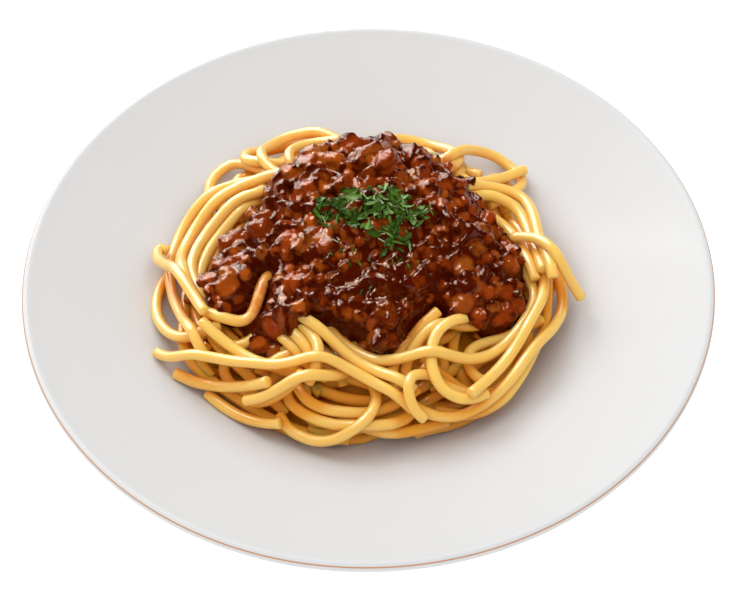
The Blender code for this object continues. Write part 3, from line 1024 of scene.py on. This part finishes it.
class SauceBed:
    """The gravy that the crumbs lie in: its edge, and the heights of its faces."""

    # Knots of mince that stand up: their middles in plan and their heights.
    KNOTS = ((3, 38, 4.6), (-11, 38, 1.2), (-21, -18, 2.4), (-46, -8, 1.4))
    KNOT_WIDTH = 5.5

    # Where the edge is drawn in or let out: the bearing in degrees, the width and the share.
    EDGE_CHANGES = ((62, 25, -0.15), (132, 18, -0.13), (-125, 12, 0.10), (-101, 9, -0.04))

    # Share of the way to the edge where the upper face starts to fall, and the width of the fall.
    FALL_START, FALL_WIDTH = 0.99, 0.045

    def __init__(self, ground, strands):
        self.ground = ground
        self.strands = strands
        number = np.arange(BEARINGS)
        rough = 0.9 * np.sin(number * 0.83 + 1.1) + 0.7 * np.sin(number * 1.71 + 0.4)
        degrees = number * 360 / BEARINGS - 180
        change = sum(part * np.exp(-(((degrees - at) / width) ** 2)) for at, width, part in self.EDGE_CHANGES)
        self.reach = (ground.sauce_radius - 0.4 + rough) * (1 + change)

    def share(self, plan):
        return self.ground.share(plan, self.reach)

    def strand_tops(self, plan):
        """Height of the topmost strand, or a little under the nest's own where no strand shows."""
        nest = sample(self.ground.nest, plan)
        heights = []
        for (x, y), low in zip(np.atleast_2d(plan), nest):
            tops = [low - 3.0]
            for tree in self.strands:
                spot, _ = landing(tree, x, y)
                if spot is not None:
                    tops.append(spot.z / MM)
            heights.append(max(tops))
        return np.array(heights)

    def faces_at(self, plan):
        """Heights of the upper and the lower face."""
        share = self.share(plan)
        strand = self.strand_tops(plan)
        left_pool = hill(plan, -22, 20, 16, 18)
        top = sample(self.ground.sauce, plan) - 1.3 + 1.1 * wavy(plan, 5, 15.0) + 0.9 * left_pool
        for x, y, height in self.KNOTS:
            top += height * hill(plan, x, y, self.KNOT_WIDTH, self.KNOT_WIDTH)
        covered = np.clip((1.0 - share) / 0.05, 0, 1) ** 0.5
        top = np.maximum(top, strand + 1.1 * covered)
        groove = np.clip((off_partings(plan) - 2.3) / 1.4, 0, 1)
        top = strand - 1.2 + (top - strand + 1.2) * groove
        low = np.minimum(strand, sample(self.ground.nest, plan)) - 3.2
        edge = low + 1.6
        top = edge + (top - edge) * np.clip((self.FALL_START - share) / self.FALL_WIDTH, 0, 1) ** 0.5
        return top, np.minimum(low, top - 0.8)


def sauce_bed_mesh(bed):
    """The bed as a closed skin: two polar sheets joined round the edge."""
    turns, rings = BEARINGS, 40
    angles = np.linspace(-math.pi, math.pi, turns, endpoint=False)
    around = np.column_stack((np.cos(angles), np.sin(angles)))
    shares = 0.985 * (np.arange(1, rings + 1) / rings) ** 0.85
    plan = np.concatenate([PEAK[None]] + [PEAK + s * bed.reach[:, None] * around for s in shares])
    top, low = bed.faces_at(plan)
    points = np.concatenate((np.column_stack((plan, top)), np.column_stack((plan, low))))
    count = len(plan)
    faces = []
    for step in range(turns):
        after = (step + 1) % turns
        faces.append((0, 1 + step, 1 + after))
        faces.append((count, count + 1 + after, count + 1 + step))
        for ring in range(rings - 1):
            a, b = 1 + ring * turns + step, 1 + ring * turns + after
            faces.append((a, a + turns, b + turns, b))
            faces.append((count + a, count + b, count + b + turns, count + a + turns))
        a, b = 1 + (rings - 1) * turns + step, 1 + (rings - 1) * turns + after
        faces.append((a, count + a, count + b, b))
    return points, faces


def run_together(name, points, faces, skin, rounds):
    """Closed lumps run together into one skin, with the detail of the skin's size."""
    mesh = bpy.data.meshes.new(name)
    mesh.from_pydata((np.asarray(points) * MM).tolist(), [], faces)
    source = bpy.data.objects.new(name, mesh)
    bpy.context.scene.collection.objects.link(source)
    remesh = source.modifiers.new("remesh", "REMESH")
    remesh.mode = "VOXEL"
    remesh.voxel_size = skin
    smooth = source.modifiers.new("smooth", "SMOOTH")
    smooth.factor = 0.5
    smooth.iterations = rounds
    result = bpy.data.meshes.new_from_object(source.evaluated_get(bpy.context.evaluated_depsgraph_get()))
    bpy.data.objects.remove(source)
    bpy.data.meshes.remove(mesh)
    return result


def roughen(mesh, depth, size):
    """Moves a skin in and out along its normals by fine chance noise."""
    for vertex, normal in zip(mesh.vertices, [v.normal.copy() for v in mesh.vertices]):
        vertex.co += normal * depth * noise.noise(vertex.co / size)


def nearest_crumbs(spots, centres, turns, sizes):
    """For each point: the crumb that it lies nearest to, and how near, 1 being on the crumb's face."""
    tree = KDTree(len(centres))
    for i, centre in enumerate(centres):
        tree.insert(centre, i)
    tree.balance()
    candidates = np.array([[hit[1] for hit in tree.find_n(spot, 4)] for spot in spots])
    offsets = spots[:, None] - centres[candidates]
    local = np.einsum("nkji,nkj->nki", turns[candidates], offsets) / sizes[candidates]
    away = np.linalg.norm(local, axis=2)
    best = away.argmin(axis=1)
    rows = np.arange(len(spots))
    return candidates[rows, best], away[rows, best]


def gravy_depth(plan):
    """How far gravy drowns the crumbs: deepest at the front and in the middle, least at the left."""
    plan = np.atleast_2d(plan)
    front = hill(plan, 4, -14, 24, 13)
    right = 0.5 * hill(plan, 27, 4, 15, 15)
    depth = np.clip(front + right + 0.22 * wavy(plan, 9, 14.0), 0, 1)
    return depth if len(depth) > 1 else depth[0]


# The parsley


def flake(rng, size):
    """One cut flake of leaf: a thin curled blade with a ragged outline, as a closed skin."""
    columns, rows = 5, 3
    length, width = size, size * rng.uniform(0.22, 0.6)
    bend, curl = rng.uniform(-1.2, 1.2), rng.uniform(-0.8, 1.6)
    u, v = np.meshgrid(np.linspace(-1, 1, columns), np.linspace(-1, 1, rows), indexing="ij")
    oval = np.sqrt(np.clip(1 - 0.85 * u[:, :1] ** 2, 0, 1))
    outline = np.repeat(oval * rng.uniform(0.65, 1.2, (columns, 1)), rows, 1)
    x, y = u * length / 2, v * outline * width / 2
    z = bend * (u**2) * length * 0.22 + curl * (v**2) * width * 0.25
    middle = np.column_stack((x.ravel(), y.ravel(), z.ravel()))
    half_thick = np.array((0, 0, 0.07))
    count = len(middle)
    points = np.concatenate((middle + half_thick, middle - half_thick))
    faces = []
    for i in range(columns - 1):
        for j in range(rows - 1):
            a = i * rows + j
            faces.append((a, a + rows, a + rows + 1, a + 1))
            faces.append((count + a, count + a + 1, count + a + rows + 1, count + a + rows))
    border = [i * rows for i in range(columns)]
    border += [(columns - 1) * rows + j for j in range(1, rows)]
    border += [i * rows + rows - 1 for i in range(columns - 2, -1, -1)]
    border += [j for j in range(rows - 2, 0, -1)]
    for a, b in zip(border, border[1:] + border[:1]):
        faces.append((b, a, count + a, count + b))
    rib = np.exp(-((v.ravel() / 0.35) ** 2)) * 0.35
    return points, faces, np.concatenate((rib, rib))


def stalk(rng, length):
    """A thin bit of stalk, lightly bent."""
    steps, sides, pale = 6, 6, 0.75
    t = np.linspace(-0.5, 0.5, steps)
    aside, upward = rng.uniform(-0.3, 0.3), rng.uniform(-0.4, 0.4)
    line = np.column_stack((t * length, aside * t**2 * length, upward * t**2 * length))
    points, faces = tube(line, np.full(steps, rng.uniform(0.13, 0.24)), sides)
    return points, faces, np.full(len(points), pale)


def main():
    register()
    bpy.ops.bolognese.plate()
    bpy.ops.bolognese.spaghetti()
    bpy.ops.bolognese.meat_sauce()
    bpy.ops.bolognese.parsley()
    bpy.ops.bolognese.stage()


class BOLOGNESE_OT_plate(bpy.types.Operator):
    """Turn the porcelain plate"""

    bl_idname = "bolognese.plate"
    bl_label = "Plate"

    def execute(self, context):
        plate = context.scene.plate_settings
        points, faces = lathe(plate_section(plate), 288)
        add_piece("porcelain_plate", points, faces, glazed_porcelain(plate), ["plate"])
        return {"FINISHED"}


class BOLOGNESE_OT_spaghetti(bpy.types.Operator):
    """Lay the nest, strand on strand"""

    bl_idname = "bolognese.spaghetti"
    bl_label = "Spaghetti"

    # The core lies this deep under the nest's top, and chance strands finish the back from here on.
    CORE_DEPTH = 14.0
    BACK_START = 34
    TOP_ROOM = 0.5

    def execute(self, context):
        scene = context.scene
        pasta = scene.pasta_settings
        ground = Ground(scene.plate_settings.floor_height / MM)
        diameter = pasta.strand_diameter / MM
        rng = np.random.default_rng(pasta.seed)
        core = core_surface(ground, self.CORE_DEPTH)
        heap = Heap(core, diameter)
        x, y = np.meshgrid(ground.axis, ground.axis)
        plan = np.column_stack((x.ravel(), y.ravel()))
        out = ground.share(plan, ground.nest_radius).reshape(x.shape)
        under_sauce = ground.share(plan, ground.sauce_radius).reshape(x.shape)
        seen = (out < 0.94) & (under_sauce > 0.8)
        front = np.clip((-8 - y) / 18, 0, 1)
        flank = np.clip((out - 0.72) / 0.1, 0, 1) * (1 - front)
        limit = ground.nest - 3.2 - 2.2 * front + 1.6 * flank
        under = fill(heap, ground, rng, pasta.under_strands, limit, seen)
        shown = []
        for route in BACK_ROUTES + LOWER_ROUTES + MIDDLE_ROUTES + UPPER_ROUTES:
            plan, lift = np.split(smooth_route(route), [2], axis=1)
            height = heap.settle(plan) + lift[:, 0]
            heap.add(plan, height)
            shown.append(np.column_stack((plan, height)))
        back = seen & (y > self.BACK_START)
        over = fill(heap, ground, rng, pasta.over_strands, ground.nest - self.TOP_ROOM, back)
        under = [part for line in under + over for part in trimmed(line, ground)]
        dough = boiled_pasta(pasta, "boiled_durum_pasta", 1.0)
        # The core's material: the dough darkened by a tenth, as painted shade.
        deep = boiled_pasta(pasta, "boiled_durum_pasta_core", 0.9)
        core_piece(ground, core, deep)
        piece = strands_piece("strands_under", under, pasta, ground, heap, rng, dough)
        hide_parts("spaghetti")
        strands_piece("strands_shown", shown, pasta, ground, heap, rng, dough)
        return {"FINISHED"}


class BOLOGNESE_OT_meat_sauce(bpy.types.Operator):
    """Ladle the meat sauce over the nest"""

    bl_idname = "bolognese.meat_sauce"
    bl_label = "Meat sauce"

    # Crumbs lie at least a gap apart, keep clear of the strands that part the sauce, lean towards
    # the small sizes, and shrink over the last of the way to the edge.
    GAP = 3.6
    CLEARANCE = 4.9
    SMALL_LEAN = 1.25
    EDGE_START = 0.92
    EDGE_SHRINKAGE = 0.25

    def execute(self, context):
        scene = context.scene
        sauce = scene.sauce_settings
        ground = Ground(scene.plate_settings.floor_height / MM)
        strands = [tree_of(bpy.data.objects[name]) for name in ("strands_under", "strands_shown")]
        bed = SauceBed(ground, strands)
        rng = np.random.default_rng(sauce.seed)
        points, faces, centres, turns, sizes = self.lay_crumbs(sauce, bed, rng)
        mesh = run_together("ragu", points, faces, sauce.skin, 2)
        roughen(mesh, 0.28 * MM, 1.5 * MM)
        piece = bpy.data.objects.new("ragu", mesh)
        scene.collection.objects.link(piece)
        mesh.materials.clear()
        mesh.materials.append(meat_ragu(sauce))
        mesh.shade_smooth()
        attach(piece, "root")
        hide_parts("meat_sauce")
        where = np.zeros(len(mesh.vertices) * 3)
        mesh.vertices.foreach_get("co", where)
        where = where.reshape(-1, 3) / MM
        crumb, away = nearest_crumbs(where, centres, turns, sizes)
        kinds = rng.uniform(0, 1, len(centres))
        add_values(piece, "kind", kinds[crumb])
        bare = 1 - 0.75 * gravy_depth(where[:, :2])
        add_values(piece, "crumb", np.clip((1.45 - away) / 0.5, 0, 1) * bare)
        return {"FINISHED"}

    def lay_crumbs(self, sauce, bed, rng):
        """The bed with every crumb pressed into it: points and faces, and the crumbs' own middles,
        turns and half sizes."""
        spots = scattered(
            rng,
            sauce.crumbs,
            self.GAP,
            lambda spot: bed.share(spot)[0] < 1.0 and off_partings(spot)[0] > self.CLEARANCE,
        )
        points, faces = sauce_bed_mesh(bed)
        all_points, all_faces, count = [points], list(faces), len(points)
        centres, turns, sizes = [], [], []
        for spot, top in zip(spots, bed.faces_at(spots)[0]):
            larger = (sauce.crumb_high - sauce.crumb_low) * rng.uniform() ** self.SMALL_LEAN
            past = max(0.0, bed.share(spot)[0] - self.EDGE_START) / (1 - self.EDGE_START)
            size = (sauce.crumb_low + larger) / MM * (1 - self.EDGE_SHRINKAGE * past)
            shape, skin = superquadric(rng)
            stretch = size / 2 * rng.uniform((0.85, 0.75, 0.6), (1.35, 1.1, 1.0))
            turn = random_turn(rng)
            sunk = size * (0.10 - 0.36 * gravy_depth(spot))
            centre = np.array((*spot, top + sunk + rng.uniform(-0.5, 0.7)))
            shape = (shape * stretch) @ turn.T + centre
            all_points.append(shape)
            all_faces += [tuple(count + i for i in face) for face in skin]
            count += len(shape)
            centres.append(centre)
            turns.append(turn)
            sizes.append(stretch)
        return np.concatenate(all_points), all_faces, np.array(centres), np.array(turns), np.array(sizes)


class BOLOGNESE_OT_parsley(bpy.types.Operator):
    """Drop a pinch of chopped parsley on top"""

    bl_idname = "bolognese.parsley"
    bl_label = "Parsley"

    # Tufts of the pinch: middle, half widths in plan and height, and each one's share of the leaf.
    TUFTS = (
        (-3, 17, 8, 6, 3.2),
        (7, 15, 8, 6, 3.2),
        (17, 11, 5, 4, 1.4),
        (-12, 13, 6, 6, 1.4),
        (3, 8, 9, 6, 2.0),
        (9, 2, 6, 5, 0.8),
    )
    SHARES = (0.26, 0.26, 0.09, 0.12, 0.17, 0.1)

    # One bit in nine is a stalk, and each flake clears the sauce by a little.
    STALK_EVERY, STALK_TURN = 9, 4
    CLEARANCE = 0.35

    def execute(self, context):
        scene = context.scene
        parsley = scene.parsley_settings
        rng = np.random.default_rng(parsley.seed)
        ground = tree_of(bpy.data.objects["ragu"])
        all_points, all_faces, tones = [], [], []
        count = 0
        for number in range(parsley.flakes + parsley.scattered):
            spot, lift, size = self.place(rng, number < parsley.flakes)
            hit, normal = landing(ground, *spot)
            if hit is None:
                continue
            is_stalk = number % self.STALK_EVERY == self.STALK_TURN
            shape, skin, tone = stalk(rng, size * 1.1) if is_stalk else flake(rng, size)
            lean = Vector(normal).to_track_quat("Z", "Y").to_matrix()
            tip = Matrix.Rotation(rng.normal(0, 0.55), 3, Vector(rng.normal(size=3)))
            turn = np.array(lean @ tip @ Matrix.Rotation(rng.uniform(0, math.tau), 3, "Z"))
            shape = shape @ turn.T + np.array(hit) / MM + np.array(normal) * (self.CLEARANCE + lift)
            all_points.append(shape)
            all_faces += [tuple(count + i for i in face) for face in skin]
            count += len(shape)
            # Painted light and shade: a flake's tone rises with its height over the sauce.
            tones.append(tone + rng.uniform(0.0, 0.42) + 0.15 * lift)
        points = np.concatenate(all_points)
        leaf = cut_parsley(parsley)
        piece = add_piece("chopped_parsley", points, all_faces, leaf, ["parsley"], False)
        add_values(piece, "tone", np.clip(np.concatenate(tones), 0, 1))
        return {"FINISHED"}

    def place(self, rng, pinched):
        """Spot in plan, height over the sauce and size of one flake."""
        if pinched:
            x, y, wide, deep, high = self.TUFTS[rng.choice(len(self.TUFTS), p=self.SHARES)]
            reach, angle = np.sqrt(rng.uniform()), rng.uniform(0, math.tau)
            spot = np.array((x + reach * wide * math.cos(angle), y + reach * deep * math.sin(angle)))
            return spot, rng.uniform(0, high) * (1 - reach**2), rng.uniform(1.5, 5.4)
        middle, spread = np.array((7.0, 1.0)), (10.0, 9.0)
        return middle + rng.normal(0, 1, 2) * spread, 0.0, rng.uniform(0.8, 2.4)


class BOLOGNESE_OT_stage(bpy.types.Operator):
    """Set the floor, the soft lights and the camera"""

    bl_idname = "bolognese.stage"
    bl_label = "Stage"

    # Where the camera looks, how high it stands, how far it leans and its distance in metres.
    TARGET = Vector((-1.28, -11.62, 36.0)) * MM
    ELEVATION = math.radians(51.59)
    ROLL = -0.0171
    DISTANCE = 0.70
    LENS = 105.0

    # Lights that aren't seen in gloss: name, power setting, place and size, all in metres.
    SOFT_LIGHTS = (
        ("key_softbox", "key_power", (-0.62, 0.72, 0.80), 0.7),
        ("overhead_fill", "fill_power", (0.0, -0.02, 1.3), 1.7),
        ("front_fill", "front_power", (-0.40, -0.85, 0.55), 0.9),
    )
    # Lights that are seen only in gloss: the same, and then the length.
    GLOSS_LIGHTS = (
        ("sheen_panel", "sheen_power", (-0.70, 1.05, 0.75), 1.7, 1.7),
        ("glint_strip", "glint_power", (-0.45, 0.60, 1.05), 0.05, 1.2),
    )
    LIT_SPOT = Vector((0, 0, 0.03))
    AMBIENT = 0.66
    FLOOR_HALF = 3.0

    def execute(self, context):
        scene = context.scene
        stage = scene.stage_settings
        self.add_floor(stage)
        self.add_world(scene)
        for name, power, place, size in self.SOFT_LIGHTS:
            self.add_light(name, getattr(stage, power), place, size).visible_glossy = False
        for name, power, place, size, length in self.GLOSS_LIGHTS:
            lamp = self.add_light(name, getattr(stage, power), place, size)
            lamp.visible_diffuse = False
            lamp.data.shape = "RECTANGLE"
            lamp.data.size_y = length
        self.add_camera(scene)
        return {"FINISHED"}

    def add_floor(self, stage):
        mesh = bpy.data.meshes.new("floor")
        half = self.FLOOR_HALF
        corners = [(-half, -half, 0), (half, -half, 0), (half, half, 0), (-half, half, 0)]
        mesh.from_pydata(corners, [], [(0, 1, 2, 3)])
        mesh.materials.append(plain_floor(stage))
        floor = bpy.data.objects.new("floor", mesh)
        bpy.context.scene.collection.objects.link(floor)

    def add_world(self, scene):
        scene.world = bpy.data.worlds.new("studio")
        scene.world.use_nodes = True
        background = scene.world.node_tree.nodes["Background"]
        set_inputs(background, {"Color": (1.0, 1.0, 1.0, 1.0), "Strength": self.AMBIENT})
        scene.world.cycles_visibility.glossy = False
        scene.view_settings.view_transform = "Standard"

    def add_light(self, name, power, place, size):
        """A square light that faces the dish."""
        light = bpy.data.lights.new(name, "AREA")
        light.energy = power
        light.size = size
        lamp = bpy.data.objects.new(name, light)
        lamp.location = place
        lamp.rotation_euler = (self.LIT_SPOT - Vector(place)).to_track_quat("-Z", "Y").to_euler()
        bpy.context.scene.collection.objects.link(lamp)
        return lamp

    def add_camera(self, scene):
        forward = Vector((0, math.cos(self.ELEVATION), -math.sin(self.ELEVATION)))
        right = Vector((1, 0, 0))
        up = right.cross(forward)
        tilt = Matrix.Rotation(-self.ROLL, 3, forward)
        pose = Matrix((tilt @ right, tilt @ up, -forward)).transposed().to_4x4()
        pose.translation = self.TARGET - forward * self.DISTANCE
        camera = bpy.data.objects.new("camera", bpy.data.cameras.new("camera"))
        camera.matrix_world = pose
        camera.data.lens = self.LENS
        camera.data.sensor_width = 36.0
        camera.data.clip_start = 0.01
        scene.collection.objects.link(camera)
        scene.camera = camera


class BOLOGNESE_PT_panel(bpy.types.Panel):
    """Sizes and colours of the dish"""

    bl_label = "Spaghetti Bolognese"
    bl_idname = "BOLOGNESE_PT_panel"
    bl_space_type = "VIEW_3D"
    bl_region_type = "UI"
    bl_category = "Pasta"

    def draw(self, context):
        for operator, (settings, group) in zip(OPERATORS, SETTINGS):
            box = self.layout.box()
            box.operator(operator.bl_idname)
            for name in group.__annotations__:
                box.prop(getattr(context.scene, settings), name)


OPERATORS = (
    BOLOGNESE_OT_plate,
    BOLOGNESE_OT_spaghetti,
    BOLOGNESE_OT_meat_sauce,
    BOLOGNESE_OT_parsley,
    BOLOGNESE_OT_stage,
)


def register():
    for name, group in SETTINGS:
        bpy.utils.register_class(group)
        setattr(bpy.types.Scene, name, PointerProperty(type=group))
    for cls in (*OPERATORS, BOLOGNESE_PT_panel):
        bpy.utils.register_class(cls)


def unregister():
    for cls in (BOLOGNESE_PT_panel, *reversed(OPERATORS)):
        bpy.utils.unregister_class(cls)
    for name, group in reversed(SETTINGS):
        delattr(bpy.types.Scene, name)
        bpy.utils.unregister_class(group)


if __name__ == "__main__":
    main()
